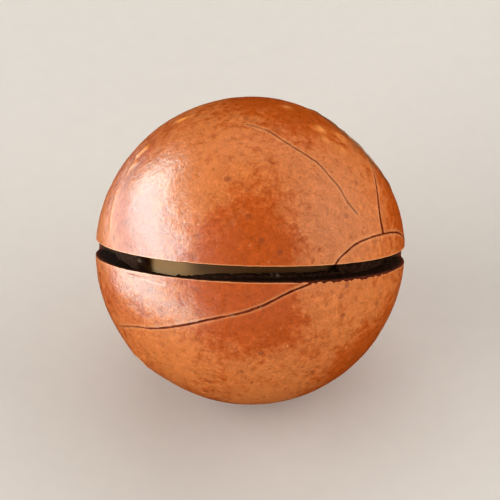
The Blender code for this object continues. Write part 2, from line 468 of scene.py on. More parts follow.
class Graph:
    """A material's nodes around one Principled shader."""

    COLOUR_RESULT = 2
    COLOUR_A, COLOUR_B = 6, 7

    def __init__(self, name: str, **constants: float | tuple[float, ...]) -> None:
        """Starts a material.

        Args:
            name: its name.
            **constants: the shader's constant values, underscores standing for spaces.
        """
        self.material = bpy.data.materials.new(name)
        self.material.use_nodes = True
        self.tree = self.material.node_tree
        self.shader = self.tree.nodes["Principled BSDF"]
        for socket, value in constants.items():
            self.shader.inputs[self.socket_name(socket)].default_value = value

    @staticmethod
    def socket_name(word: str) -> str:
        """The shader's name for a socket that is given with underscores."""
        return word.replace("_", " ").title().replace("Ior", "IOR")

    def node(
        self,
        kind: str,
        settings: dict[str, object] | None = None,
        values: "dict[str | int, Signal | float | tuple[float, ...]] | None" = None,
        output: str | int = 0,
    ) -> Signal:
        """Adds a node.

        Args:
            kind: the node's type.
            settings: its own settings, such as a Math node's operation.
            values: numbers or links for its sockets, by name or place.
            output: which of its outputs is wanted.

        Returns:
            That output.
        """
        made = self.tree.nodes.new(kind)
        for name, value in (settings or {}).items():
            setattr(made, name, value)
        for socket, value in (values or {}).items():
            if isinstance(value, Signal):
                self.tree.links.new(value.socket, made.inputs[socket])
            else:
                made.inputs[socket].default_value = value
        return Signal(self, made.outputs[output])

    def place(self) -> Signal:
        """The point on the piece, in metres."""
        return self.node("ShaderNodeTexCoord", output="Object")

    def noise(self, at: Signal, size: float, detail: float = 2, roughness: float = 0.5) -> Signal:
        """Smooth noise from 0 to 1 with features of the given size in metres."""
        values = {"Vector": at, "Scale": 1 / size, "Detail": detail, "Roughness": roughness}
        return self.node("ShaderNodeTexNoise", {}, values, "Fac")

    def specks(self, at: Signal, spacing: float, radius: float, share: float) -> Signal:
        """Round specks, each in its own cell of a loose net.

        Args:
            at: the point on the piece.
            spacing: the size of a cell, in metres.
            radius: how far a speck reaches, as a share of the spacing.
            share: how many of the cells hold one.

        Returns:
            1 in a speck and 0 outside.
        """
        values = {"Vector": at, "Scale": 1 / spacing, "Randomness": 0.9}
        distance = self.node("ShaderNodeTexVoronoi", {}, values, "Distance")
        lottery = self.node("ShaderNodeTexVoronoi", {}, values, "Color")
        number = self.node("ShaderNodeSeparateColor", {}, {"Color": lottery}, "Red")
        return distance.rise(radius, radius * 0.4) * number.rise(1 - share, 1 - share + 0.1)

    def mix(self, share: Signal | float, first: Signal | Colour, second: Signal | Colour) -> Signal:
        """The first colour where the share is 0, and the second where it is 1."""
        return self._mixed("MIX", share, first, second)

    def tinted(self, share: Signal | float, first: Signal | Colour, second: Signal | Colour) -> Signal:
        """The first colour multiplied by the second, as far as the share says."""
        return self._mixed("MULTIPLY", share, first, second)

    def _mixed(self, blend: str, share: Signal | float, *colours: Signal | Colour) -> Signal:
        """Adds a Mix node for colours.

        Args:
            blend: the node's blending.
            share: how far the second colour takes part.
            *colours: the first and the second colour.

        Returns:
            The mixed colour.
        """
        first, second = (value if isinstance(value, Signal) else (*value, 1) for value in colours)
        settings = {"data_type": "RGBA", "blend_type": blend}
        values = {0: share, self.COLOUR_A: first, self.COLOUR_B: second}
        return self.node("ShaderNodeMix", settings, values, self.COLOUR_RESULT)

    def grey(self, value: Signal) -> Signal:
        """A value as a grey colour, for multiplying."""
        return self.node("ShaderNodeCombineColor", {}, {"Red": value, "Green": value, "Blue": value})

    def _vector_math(self, operation: str, output: str, *values: Signal | Vector) -> Signal:
        """Adds a Vector Math node for these values."""
        plain = [value if isinstance(value, Signal) else tuple(value) for value in values]
        return self.node("ShaderNodeVectorMath", {"operation": operation}, dict(enumerate(plain)), output)

    def facing(self, at: Signal, centre: Vector, axis: Vector) -> Signal:
        """Compares the way to a point with an axis.

        Args:
            at: the point.
            centre: where the way starts.
            axis: the axis, of length 1.

        Returns:
            The cosine of the angle between them.
        """
        out = self._vector_math("SUBTRACT", "Vector", at, centre)
        way = self._vector_math("NORMALIZE", "Vector", out)
        return self._vector_math("DOT_PRODUCT", "Value", way, axis)

    def distance(self, at: Signal, centre: Vector) -> Signal:
        """How far the point is from a centre."""
        return self._vector_math("DISTANCE", "Value", at, centre)

    def painted(self, name: str) -> Signal:
        """A value that the mesh carries at its points."""
        return self.node("ShaderNodeAttribute", {"attribute_name": name}, {}, "Fac")

    def connect(self, **signals: Signal) -> None:
        """Links signals to the shader, underscores standing for spaces."""
        for socket, signal in signals.items():
            self.tree.links.new(signal.socket, self.shader.inputs[self.socket_name(socket)])

    def raise_surface(self, height: Signal) -> None:
        """Raises the surface by a height in metres, by a Bump node."""
        values = {"Strength": 1.0, "Distance": 1.0, "Height": height}
        self.connect(normal=self.node("ShaderNodeBump", {}, values, "Normal"))


# Finishes


@dataclass(frozen=True)
class Zone:
    """A part of the skin that is more, or less, tan than the rest, at a spot as the viewer sees it: partly
    the skin's own tone and partly painted light and shade.
    """

    spot: tuple[float, float]
    reach: float
    tan: float


@dataclass(frozen=True)
class SkinGrain:
    """The skin's noise, from 0 to 1, from its broadest features to its finest."""

    broad: Signal
    cloud: Signal
    blotch: Signal
    fine: Signal
    dust: Signal

    @classmethod
    def over(cls, graph: Graph, at: Signal) -> "SkinGrain":
        """Adds the noise to a graph.

        Args:
            graph: the skin's nodes.
            at: the point on the shell.

        Returns:
            The noise at that point.
        """
        return cls(
            broad=graph.noise(at, 4.4 * MM, detail=3, roughness=0.6),
            cloud=graph.noise(at, 1.3 * MM, detail=3, roughness=0.6),
            blotch=graph.noise(at, 0.62 * MM, detail=2, roughness=0.5),
            fine=graph.noise(at, 0.24 * MM, detail=3, roughness=0.6),
            dust=graph.noise(at, 0.15 * MM, detail=2, roughness=0.6),
        )


@dataclass(frozen=True)
class RoastedSkin:
    """The shell's outside: amber and tan, mottled, flecked and semi-gloss, with a pale rough scar, and with
    painted light and shade in its tan zones, lips, cracks and marks.
    """

    amber: Colour = (0.455, 0.071, 0.001)
    tan: Colour = (0.61, 0.170, 0.036)
    russet: Colour = (0.29, 0.040, 0.003)
    fleck: Colour = (0.19, 0.030, 0.003)
    pale_fleck: Colour = (0.74, 0.36, 0.17)
    bark: Colour = (0.22, 0.085, 0.032)
    bark_light: Colour = (0.55, 0.31, 0.14)
    scar_rim: Colour = (0.17, 0.045, 0.012)
    pore_white: Colour = (0.66, 0.52, 0.36)
    # The marks' pale tone, painted brighter on some as glints
    mark_tone_and_light: Colour = (0.95, 0.34, 0.07)
    # Wear and painted edge highlight at the slit's lips and round the cracks
    wear_and_edge_glint: Colour = (0.80, 0.34, 0.12)
    # Darker colour close to a crack
    crack_darkening: Colour = (0.19, 0.034, 0.006)
    ior: float = 1.9
    roughness: float = 0.29
    # How far from a lip or a crack each paling or darkening starts, and where it is full; the paling is
    # partly wear and partly painted edge highlight
    lip_reach: tuple[float, float] = (0.17 * MM, 0.05 * MM)
    crack_rim: tuple[float, float] = (0.36 * MM, 0.16 * MM)
    crack_darkening_reach: tuple[float, float] = (0.15 * MM, 0.06 * MM)
    blotch_height: float = 0.032 * MM
    grain_height: float = 0.024 * MM
    fleck_depth: float = 0.008 * MM
    bark_height: float = 0.14 * MM
    scar_angle: float = math.radians(20)
    pore_angle: float = math.radians(3.1)
    # Besides the skin's tone, the zones hold painted light and shade: the lighter ones at the right, top and
    # bottom are partly painted sheens, those at the left and bottom rims painted rim light, the one beside
    # the left highlight its painted edge; the darker ones under the two left highlights, over the middle and
    # at the right, top and lower right rims are painted shade.
    zones: tuple[Zone, ...] = (
        Zone((0.52, 0.15), 0.34, 0.42),
        Zone((0.60, 0.46), 0.27, 0.38),
        Zone((0.02, 0.62), 0.27, 0.24),
        Zone((0.05, -0.80), 0.32, 0.30),
        Zone((0.56, -0.40), 0.36, 0.36),
        Zone((-0.70, 0.18), 0.22, -0.42),
        Zone((-0.40, 0.36), 0.24, 0.50),
        Zone((-0.68, -0.34), 0.2, -0.25),
        Zone((-0.40, 0.70), 0.3, 0.30),
        Zone((-0.97, 0.10), 0.25, 0.35),
        Zone((-0.55, -0.65), 0.3, 0.5),
        Zone((0.10, -0.98), 0.2, 0.5),
        Zone((0.05, 0.06), 0.36, -0.44),
        Zone((0.12, -0.06), 0.18, -0.30),
        Zone((-0.12, -0.30), 0.27, -0.58),
        Zone((0.15, -0.50), 0.24, -0.54),
        Zone((0.33, 0.83), 0.27, -0.40),
        Zone((0.95, 0.26), 0.24, -0.60),
        Zone((0.68, -0.70), 0.27, -0.60),
        Zone((0.0, 0.98), 0.24, -0.50),
    )

    def tan_and_light_share(self, ways: Array) -> Array:
        """Adds up the zones.

        Args:
            ways: unit directions over the nut, one to a row.

        Returns:
            How tan the skin is at each, with the zones' painted light and shade, 0.5 where no zone reaches.
        """
        share = np.full(len(ways), 0.5)
        for zone in self.zones:
            share = share + zone.tan * bell(angle_between(ways, VIEW.at_spot(*zone.spot)), zone.reach)
        return share

    def ground(self, graph: Graph, grain: SkinGrain) -> Signal:
        """Mixes the skin's own colour.

        Args:
            graph: the skin's nodes.
            grain: the skin's noise.

        Returns:
            Amber and tan as the zones say, painted light and shade included, in russet clouds, and mottled.
        """
        # The tan share holds painted sheen, rim light and shade besides the skin's tone
        tan = graph.painted("tan_and_light_share") + grain.broad.swing(0.8) + grain.cloud.swing(1.1)
        tan = tan + grain.blotch.swing(0.8) + grain.fine.swing(0.5)
        colour = graph.mix(tan.rise(0.15, 0.85), self.amber, self.tan)
        clouds = (grain.cloud + grain.blotch * 0.5).rise(0.76, 1.14)
        colour = graph.mix(clouds * 0.5, colour, self.russet)
        mottle = 1 + grain.blotch.swing(0.6) + grain.fine.swing(0.7) + grain.dust.swing(0.7)
        return graph.tinted(1.0, colour, graph.grey(mottle))

    def flecks(self, graph: Graph, at: Signal) -> Signal:
        """Scatters the dark flecks.

        Args:
            graph: the skin's nodes.
            at: the point on the shell.

        Returns:
            1 in a fleck and 0 outside, and none in some broad patches.
        """
        large = graph.specks(at, 1.3 * MM, 0.3, 0.55)
        small = graph.specks(at, 0.7 * MM, 0.26, 0.25)
        patches = graph.noise(at, 2.4 * MM).rise(0.34, 0.6)
        return (large + 0.6 * small).rise(0, 1.2) * patches

    def edges(self, graph: Graph, colour: Signal, grain: SkinGrain) -> Signal:
        """Pales the skin beside the slit and the cracks, partly as wear and partly as painted edge highlight.

        Args:
            graph: the skin's nodes.
            colour: the skin's colour.
            grain: the skin's noise.

        Returns:
            The colour, paler at the slit's lips and round the cracks, partly as painted edge highlight, and
            darker close to a crack.
        """
        ragged = grain.blotch.swing(0.12 * MM)
        # Paler lips and crack rims: partly wear, partly painted edge highlight
        lip = (graph.painted("from_slit") + ragged).rise(*self.lip_reach)
        colour = graph.mix(lip * 0.75, colour, self.wear_and_edge_glint)
        from_crack = graph.painted("from_crack") + ragged
        colour = graph.mix(from_crack.rise(*self.crack_rim) * 0.3, colour, self.wear_and_edge_glint)
        # Darker close to a crack
        return graph.mix(from_crack.rise(*self.crack_darkening_reach) * 0.6, colour, self.crack_darkening)

    def bark_colour(self, graph: Graph, fibre: Signal) -> Signal:
        """The scar's fibres in two browns."""
        bark = 0.5 + 0.22 * graph.painted("scar_streak") + fibre.swing(1.7)
        return graph.mix(bark.rise(0.15, 0.95), self.bark, self.bark_light)

    def material(self, form: NutForm) -> bpy.types.Material:
        """Puts the finish together.

        Args:
            form: the nut's form.

        Returns:
            The finished material.
        """
        graph = Graph("roasted_skin", ior=self.ior)
        at = graph.place()
        grain = SkinGrain.over(graph, at)
        flecks = self.flecks(graph, at)
        colour = graph.mix(flecks * 0.55, self.ground(graph, grain), self.fleck)
        pale_flecks = graph.specks(at, 0.5 * MM, 0.24, 0.12)
        colour = graph.mix(pale_flecks * 0.4, colour, self.pale_fleck)
        # Marks' own pale and dark tones, with painted glints on two and a painted shadow line along the
        # groove under the slit
        mark = graph.painted("mark_tone_and_light")
        colour = graph.mix(mark * 0.8, colour, self.mark_tone_and_light)
        colour = graph.mix(mark * -0.8, colour, self.russet)
        colour = self.edges(graph, colour, grain)

        frayed = grain.blotch.swing(0.05) + grain.cloud.swing(0.06)
        from_scar = graph.facing(at, form.centre, form.to_scar) + frayed
        scar = from_scar.rise(math.cos(self.scar_angle + 0.03), math.cos(self.scar_angle - 0.05))
        rim = from_scar.rise(math.cos(self.scar_angle + 0.12), math.cos(self.scar_angle + 0.01))
        colour = graph.mix(rim * 0.75, colour, self.scar_rim)
        fibre = graph.noise(at, 0.42 * MM, detail=5, roughness=0.7)
        colour = graph.mix(scar, colour, self.bark_colour(graph, fibre))
        from_pore = graph.facing(at, form.centre, form.to_pore) + grain.fine.swing(0.003)
        pore = from_pore.rise(math.cos(self.pore_angle + 0.012), math.cos(self.pore_angle - 0.012))
        colour = graph.mix(pore * 0.72, colour, self.pore_white)

        rough = self.roughness + grain.blotch.swing(0.1) + 0.05 * flecks + 0.35 * scar + 0.2 * pore
        height = self.blotch_height * grain.blotch + self.grain_height * grain.fine
        height = height - self.fleck_depth * flecks + scar * fibre * self.bark_height
        graph.connect(base_color=colour, roughness=rough)
        graph.raise_surface(height)
        return graph.material


@dataclass(frozen=True)
class SawnWood:
    """The walls of the saw slit: dense dark wood with pale stone cells, scored by the blade."""

    dark: Colour = (0.022, 0.008, 0.004)
    brown: Colour = (0.07, 0.028, 0.014)
    cell: Colour = (0.42, 0.30, 0.22)
    rind: Colour = (0.12, 0.020, 0.008)
    rind_depth: float = 0.5 * MM

    def material(self, form: NutForm) -> bpy.types.Material:
        """Puts the finish together.

        Args:
            form: the nut's form.

        Returns:
            The finished material.
        """
        graph = Graph("sawn_wood", specular_ior_level=0.06)
        at = graph.place()
        grain = graph.noise(at, 0.3 * MM, detail=4, roughness=0.7)
        colour = graph.mix(grain.rise(0.4, 0.7), self.dark, self.brown)
        cells = graph.specks(at, 0.3 * MM, 0.22, 0.22)
        colour = graph.mix(cells * 0.55 + graph.painted("crumb"), colour, self.cell)
        depth = graph.distance(at, form.centre) + grain.swing(0.5 * MM)
        rind = depth.rise(form.radius - self.rind_depth, form.radius - 0.3 * self.rind_depth)
        colour = graph.mix(rind * 0.8, colour, self.rind)
        graph.connect(base_color=colour, roughness=0.7 + 0.2 * grain)
        graph.raise_surface(0.03 * MM * grain)
        return graph.material


@dataclass(frozen=True)
class CrackWood:
    """The walls of the hairline cracks: dark red-brown, with a few pale splinters."""

    dark: Colour = (0.26, 0.035, 0.008)
    red: Colour = (0.48, 0.10, 0.025)
    splinter: Colour = (0.62, 0.42, 0.27)

    def material(self) -> bpy.types.Material:
        """Puts the finish together.

        Returns:
            The finished material.
        """
        graph = Graph("crack_wood", specular_ior_level=0.3)
        at = graph.place()
        grain = graph.noise(at, 0.35 * MM, detail=3)
        colour = graph.mix(grain.rise(0.45, 0.7), self.dark, self.red)
        splinters = graph.specks(at, 0.9 * MM, 0.2, 0.12) * 0.8 + graph.painted("crumb")
        colour = graph.mix(splinters, colour, self.splinter)
        graph.connect(base_color=colour, roughness=0.7 + 0.2 * grain)
        return graph.material


@dataclass(frozen=True)
class ShellLining:
    """The shell's smooth inside: brown towards the scar and cream towards the pore."""

    brown: Colour = (0.15, 0.06, 0.028)
    cream: Colour = (0.66, 0.53, 0.36)

    def material(self, form: NutForm) -> bpy.types.Material:
        """Puts the finish together.

        Args:
            form: the nut's form.

        Returns:
            The finished material.
        """
        graph = Graph("shell_lining")
        at = graph.place()
        cloud = graph.noise(at, 1.6 * MM, detail=4, roughness=0.6)
        zone = graph.facing(at, form.centre, form.to_pore) + cloud.swing(0.4)
        colour = graph.mix(zone.rise(0.1, 0.3), self.brown, self.cream)
        colour = graph.tinted(1.0, colour, graph.grey(0.6 + 0.8 * cloud))
        graph.connect(base_color=colour, roughness=0.3 + 0.2 * cloud)
        graph.raise_surface(0.02 * MM * cloud)
        return graph.material


@dataclass(frozen=True)
class KernelFlesh:
    """The kernel: waxy cream, yellower in patches, lightly toasted, with fine veins, and painted shade along
    the slit that darkens towards the right.
    """

    cream: Colour = (0.80, 0.66, 0.40)
    butter: Colour = (0.74, 0.54, 0.24)
    toast: Colour = (0.42, 0.24, 0.09)
    # dust and the next colour are painted shade for the strip seen through the slit, the next one darker at
    # its right end
    dust: Colour = (0.50, 0.26, 0.085)
    deep_shade: Colour = (0.15, 0.060, 0.014)

    def material(self) -> bpy.types.Material:
        """Puts the finish together.

        Returns:
            The finished material.
        """
        graph = Graph(
            "kernel_flesh",
            ior=1.46,
            specular_ior_level=0.2,
            subsurface_weight=0.12,
            subsurface_radius=(1.0, 0.6, 0.3),
            subsurface_scale=0.6 * MM,
        )
        at = graph.place()
        cloud = graph.noise(at, 3.2 * MM, detail=4, roughness=0.6)
        fine = graph.noise(at, 0.5 * MM, detail=4, roughness=0.65)
        colour = graph.mix(cloud.rise(0.42, 0.66), self.cream, self.butter)
        toasted = graph.noise(at, 2.1 * MM, detail=5, roughness=0.7).rise(0.56, 0.74)
        colour = graph.mix(toasted * 0.6, colour, self.toast)
        colour = graph.tinted(1.0, colour, graph.grey(0.82 + 0.3 * fine))
        colour = graph.mix(graph.specks(at, 0.7 * MM, 0.12, 0.2) * 0.5, colour, self.toast)
        # Painted shade along the strip under the slit, darker towards the right
        colour = graph.mix(graph.painted("slit_shade"), colour, self.dust)
        colour = graph.mix(graph.painted("slit_deep_shade"), colour, self.deep_shade)
        graph.connect(base_color=colour, roughness=0.42 + 0.2 * fine)
        graph.raise_surface(0.02 * MM * fine)
        return graph.material


@dataclass(frozen=True)
class PaleCard:
    """The studio floor: pale matt card with a very faint tooth."""

    colour: Colour = (0.60, 0.575, 0.54)

    def material(self) -> bpy.types.Material:
        """Puts the finish together.

        Returns:
            The finished material.
        """
        graph = Graph("pale_card", roughness=0.75, specular_ior_level=0.2)
        tooth = graph.noise(graph.place(), 1.5 * MM, detail=3)
        graph.connect(base_color=graph.tinted(1.0, self.colour, graph.grey(0.97 + 0.05 * tooth)))
        graph.raise_surface(0.01 * MM * tooth)
        return graph.material


# The nut's features


@dataclass(frozen=True)
class Crack:
    """A hairline crack that opened in roasting."""

    name: str
    width: float
    depth: float
    corners: Route
    fades_at_start: bool = False
    fade_length: float = 0.3
    unevenness: float = 0.45
    wander: float = 0.05 * MM
    steps: int = 28
    root_share: float = 0.2
    clearance: float = 0.3 * MM
    # What is left of the width and of the depth at a free end
    end_width: float = 0.12
    end_depth: float = 0.35

    def route(self) -> list[Vector]:
        """The crack's middle line over the skin."""
        return smooth_route(self.corners, self.steps)

    def divided_box(self, rings: int) -> bpy.types.Object:
        """Adds a box and splits it along its length.

        Args:
            rings: how many rings of four points it gets, its ends included.

        Returns:
            The box, 2 long, wide and high about the origin.
        """
        bpy.ops.object.select_all(action="DESELECT")
        bpy.ops.mesh.primitive_cube_add(size=2)
        box = bpy.context.object
        box.name = f"crack_{self.name}"
        at_length = points_of(box)[:, 0]
        ends = (edge.vertices for edge in box.data.edges)
        lengthwise = [bool(abs(at_length[start] - at_length[end]) > 1) for start, end in ends]
        with editing(box, "EDGE"):
            bpy.ops.mesh.select_all(action="DESELECT")
        box.data.edges.foreach_set("select", lengthwise)
        with editing(box, "EDGE"):
            bpy.ops.mesh.subdivide(number_cuts=rings - 2)
        return box

    def fading(self, rings: int) -> Array:
        """Closes the crack towards its free ends.

        Args:
            rings: how many places along the crack are wanted.

        Returns:
            1 where the crack is at its full size and 0 at a free end.
        """
        shares = np.arange(rings) / (rings - 1)
        fade = smooth_step(1 - shares, 0, self.fade_length)
        if self.fades_at_start:
            fade = fade * smooth_step(shares, 0, self.fade_length)
        return fade

    def blade(self, form: NutForm) -> bpy.types.Object:
        """Makes a thin blade that follows the crack, from a long box whose rings are set along the route.

        Args:
            form: the nut's form.

        Returns:
            The blade, wandering a little, of uneven width, and narrowing to nothing at a free end.
        """
        route = self.route()
        last = len(route) - 1
        blade = self.divided_box(len(route))
        box = points_of(blade)
        rings = np.rint((box[:, 0] + 1) / 2 * last).astype(int)
        skin = form.skin(np.array([tuple(way) for way in route]))
        stations = np.array([tuple(way * form.radius) for way in route])
        drift = seeded_noise(stations, 1.1 * MM, 3.0) + 0.6 * seeded_noise(stations, 0.35 * MM, 8.0)
        drift = self.wander * drift
        swell = np.maximum(1 + self.unevenness * seeded_noise(stations, 0.8 * MM, 5.0), 0.15)
        fade = self.fading(len(route))
        half = self.width / 2 * swell * (self.end_width + (1 - self.end_width) * fade)
        depth = self.depth * (self.end_depth + (1 - self.end_depth) * fade)
        places = np.empty_like(box)
        for index, (ring, side, level) in enumerate(zip(rings, box[:, 1], box[:, 2])):
            way = route[ring]
            ahead = route[min(ring + 1, last)] - route[max(ring - 1, 0)]
            across = ahead.cross(way).normalized()
            reach = self.clearance if level > 0 else -depth[ring]
            width = half[ring] * (1 if level > 0 else self.root_share)
            places[index] = form.centre + way * (skin[ring] + reach) + across * (side * width + drift[ring])
        move_points(blade, places)
        with editing(blade):
            bpy.ops.mesh.select_all(action="SELECT")
            bpy.ops.mesh.normals_make_consistent(inside=False)
        return blade


CRACKS = (
    Crack(
        "lower",
        0.28 * MM,
        0.32 * MM,
        (
            *((23, -12), (14, -15.7), (6, -20), (-2, -23), (-14, -25.6), (-28, -28.3)),
            *((-43, -30), (-58, -29.3), (-72, -29)),
        ),
    ),
    Crack(
        "right",
        0.23 * MM,
        0.2 * MM,
        (
            *((30, -8), (34, -3), (38, 0), (42, 2.3), (49, 4.4), (57.4, 5.8), (65, 6.4)),
            *((74, 6), (83, 4.4), (93, 3), (104, 4), (115, 10)),
        ),
    ),
    Crack(
        "rising",
        0.48 * MM,
        0.34 * MM,
        ((57.4, 6), (56.8, 8.8), (56.6, 12.1), (58.1, 17.9), (60.9, 24.1), (64, 28.6), (68.5, 35)),
        fade_length=0.85,
        root_share=0.4,
    ),
    Crack(
        "upper",
        0.11 * MM,
        0.11 * MM,
        (
            *((-1.6, 53), (4.9, 51), (10.8, 48.4), (15.7, 44.3), (21.2, 39.9), (27.4, 35.3)),
            *((30.4, 32.9), (34.2, 26.9), (37.2, 22.9), (39.1, 18.2), (41.6, 14.9), (43.6, 12.9)),
        ),
        fades_at_start=True,
        unevenness=1.6,
        wander=0.08 * MM,
    ),
)


@dataclass(frozen=True)
class SawSlit:
    """The slit that a round blade cut while the nut turned against it."""

    width: float = 1.2 * MM
    elevation: float = math.radians(36.8)
    roll: float = math.radians(1.4)
    above_middle: float = 0.08 * MM
    blade_radius: float = 20.0 * MM
    depth: float = 2.55 * MM
    sweep: float = math.radians(71)
    clearance: float = 1.5 * MM
    lip_bevel: float = 0.075 * MM
    chip: float = 0.11 * MM
    # Where the blade broke through to the cavity, and how much shallower it cut past there
    opens: tuple[float, float] = (math.radians(-54), math.radians(41))
    blind_rise: float = 0.85 * MM
    # Over which angles it gets shallower at each opening's end, and over which past the sweep that ends
    left_fade: tuple[float, float] = (math.radians(-2.5), math.radians(3))
    right_fade: tuple[float, float] = (math.radians(-5), math.radians(9))
    end_fade: tuple[float, float] = (math.radians(5), math.radians(22))
    # How much lower the inner edge of the lower side is, and between which angles that fades out
    undercut: float = 0.36 * MM
    undercut_fade: tuple[float, float] = (math.radians(-32), math.radians(2))
    # A ledge of uncut wall along the lower side, and how far up the slit, -1 to 1, it reaches at these angles
    ledge_rise: float = 0.6 * MM
    ledge_angles: tuple[float, ...] = (math.radians(-42), math.radians(-33), math.radians(-18), 0.0)
    ledge_tops: tuple[float, ...] = (-1.4, -0.9, -0.55, -0.42)
    ledge_raggedness: float = 0.25
    ledge_edge: tuple[float, float] = (-0.12, 0.15)
    # Between which angles the lower lip starts to be torn, and between which it stops
    torn_from: tuple[float, float] = (0.2, 0.5)
    torn_to: tuple[float, float] = (1.18, 0.95)
    waviness: float = 0.018 * MM
    steps: int = 380
    # How far along the profile, from the floor to the outside, the cut's lip and the skin lie
    lip_share: float = 0.7
    skin_share: float = 0.8

    def tilt(self) -> Matrix:
        """From the slit's own frame, +Z across it and -Y to its middle, to the nut's directions."""
        return Matrix.Rotation(-self.elevation, 3, "X") @ Matrix.Rotation(self.roll, 3, "Y")

    def own_frame(self, points: Array, form: NutForm) -> tuple[Array, Array]:
        """Measures points by the slit.

        Args:
            points: points of a piece, one to a row.
            form: the nut's form.

        Returns:
            Each point's angle along the slit and its height above the slit's middle plane.
        """
        local = (points - np.array(form.centre)) @ np.array(self.tilt())
        return np.arctan2(local[:, 0], -local[:, 1]), local[:, 2] - self.above_middle

    def beside(self, points: Array, form: NutForm) -> Array:
        """Measures how far points are from the slit's lips.

        Args:
            points: points of the shell, one to a row.
            form: the nut's form.

        Returns:
            The distance across the slit, or one that is far off where the slit doesn't reach.
        """
        along, above = self.own_frame(points, form)
        off = np.maximum(np.abs(above) - self.width / 2, 0)
        return np.where(np.abs(along) < self.sweep + self.run_out(form.radius, form), off, 1.0)

    def run_out(self, reach: float, form: NutForm) -> float:
        """Works out how far the blade's curve runs on past the sweep.

        Args:
            reach: the radius of a circle round the nut's middle.
            form: the nut's form.

        Returns:
            The angle past the sweep at which the curve meets that circle.
        """
        blade_centre = form.radius + self.blade_radius - self.depth
        top = blade_centre**2 + reach**2 - self.blade_radius**2
        return math.acos(top / (2 * blade_centre * reach))

    def floor(self, along: Array, form: NutForm) -> Array:
        """Measures the cut's floor.

        Args:
            along: angles along the slit.
            form: the nut's form.

        Returns:
            The distance of the floor from the nut's middle at each.
        """
        blade_centre = form.radius + self.blade_radius - self.depth
        past = np.maximum(np.abs(along) - self.sweep, 0)
        rise = np.sqrt(self.blade_radius**2 - (blade_centre * np.sin(past)) ** 2)
        return blade_centre * np.cos(past) - rise

    def uncut(self, along: Array, side: Array) -> Array:
        """Measures the wall that the blade left standing.

        Args:
            along: angles along the slit.
            side: places across it, from -1 at its lower side to 1.

        Returns:
            How much shallower the cut is at each.
        """
        line = np.stack([along * 10 * MM, 0 * along, 0 * along], axis=1)
        ragged = seeded_noise(line, 0.9 * MM, 15.0) + 0.6 * seeded_noise(line, 0.4 * MM, 19.0)
        left, right = self.opens
        at_left = smooth_step(-along, *(angle - left for angle in self.left_fade))
        at_right = smooth_step(along, *(angle + right for angle in self.right_fade))
        at_ends = smooth_step(np.abs(along), *(angle + self.sweep for angle in self.end_fade))
        ledge_top = np.interp(along, self.ledge_angles, self.ledge_tops)
        ledge_top = ledge_top + self.ledge_raggedness * ragged
        ledge = smooth_step(ledge_top - side, *self.ledge_edge)
        blind = self.blind_rise * np.maximum(at_left, at_right)
        return np.maximum(blind, self.ledge_rise * ledge) * (1 - at_ends)

    def chips(self, along: Array, side: Array) -> Array:
        """Chips the lips, most on the lower one towards the right.

        Args:
            along: angles along the slit.
            side: places across it, from -1 at its lower side to 1.

        Returns:
            How much wider than its bevel the lip is at each.
        """
        line = np.stack([along * 12.5 * MM, side * 5 * MM, 0 * along], axis=1)
        small = np.maximum(seeded_noise(line, 0.55 * MM, 12.0), 0) * 0.25
        torn = 0.9 + 2.4 * np.maximum(seeded_noise(line, 0.42 * MM, 21.0), -0.3)
        where = smooth_step(along, *self.torn_from) * smooth_step(along, *self.torn_to) * (side < 0)
        return self.chip * (small + torn * where)

    def undercut_at(self, along: Array, share: Array, side: Array) -> Array:
        """Measures how much lower the inner edge of the lower side lies.

        Args:
            along: angles along the slit.
            share: places along the profile, from 0 at the floor to 1 outside.
            side: places across the slit, from -1 at its lower side to 1.

        Returns:
            The drop at each, which is nothing at the lip and on the upper side.
        """
        inwards = np.maximum(1 - share / self.lip_share, 0) * (side < 0)
        under = self.undercut * inwards * (1 - smooth_step(along, *self.undercut_fade))
        return under * smooth_step(along, -self.sweep, self.opens[0])

    @staticmethod
    def spots(along: Array, radius: Array | float, height: Array) -> Array:
        """Points in the slit's own frame at these angles, distances from its axis and heights."""
        return np.stack([np.sin(along) * radius, -np.cos(along) * radius, height], axis=1)

    def section(self, along: Array, share: Array, side: Array, form: NutForm) -> tuple[Array, Array]:
        """Sets the profile's points out from the floor to clear of the skin.

        Args:
            along: each point's angle along the slit.
            share: its place along the profile, from 0 at the floor to 1 outside.
            side: its place across the slit, from -1 at its lower side to 1.
            form: the nut's form.

        Returns:
            Each point's distance from the slit's axis, and how far the lip's bevel widens the cut there.
        """
        rim = self.spots(along, form.radius, side * self.width / 2)
        skin = form.skin(ways_of(rim @ np.array(self.tilt()).T, Vector()))
        skin = np.sqrt(skin**2 - (side * self.width / 2 + self.above_middle) ** 2)
        bevel = self.lip_bevel + self.chips(along, side)
        floor = self.floor(along, form) + self.uncut(along, side)
        outer = form.radius + self.clearance
        stops = (0, self.lip_share, self.skin_share, 1)
        radius = np.empty_like(share)
        flare = np.empty_like(share)
        for index, (where, low, at_skin, edge) in enumerate(zip(share, floor, skin, bevel)):
            lip = max(low, at_skin - edge)
            radius[index] = np.interp(where, stops, (low, lip, max(at_skin, low + MM / 100), outer))
            flare[index] = np.interp(where, stops, (0, 0, edge, edge + self.clearance / 3))
        return radius, flare

    def profile(self) -> bpy.types.Object:
        """Draws the outline of the cut's section.

        Returns:
            The outline, in the plane X = 0, 2 long from near the axis outwards and 2 high.
        """
        bpy.ops.object.select_all(action="DESELECT")
        bpy.ops.mesh.primitive_grid_add(
            x_subdivisions=10, y_subdivisions=16, size=2, location=(0, -2, 0), rotation=(0, math.pi / 2, 0)
        )
        cutter = bpy.context.object
        cutter.name = "saw_slice"
        bpy.ops.object.transform_apply(location=True, rotation=True, scale=True)
        with editing(cutter):
            bpy.ops.mesh.select_all(action="SELECT")
            bpy.ops.mesh.region_to_loop()
            bpy.ops.mesh.select_mode(type="EDGE")
            bpy.ops.mesh.select_all(action="INVERT")
            bpy.ops.mesh.delete(type="EDGE")
        return cutter

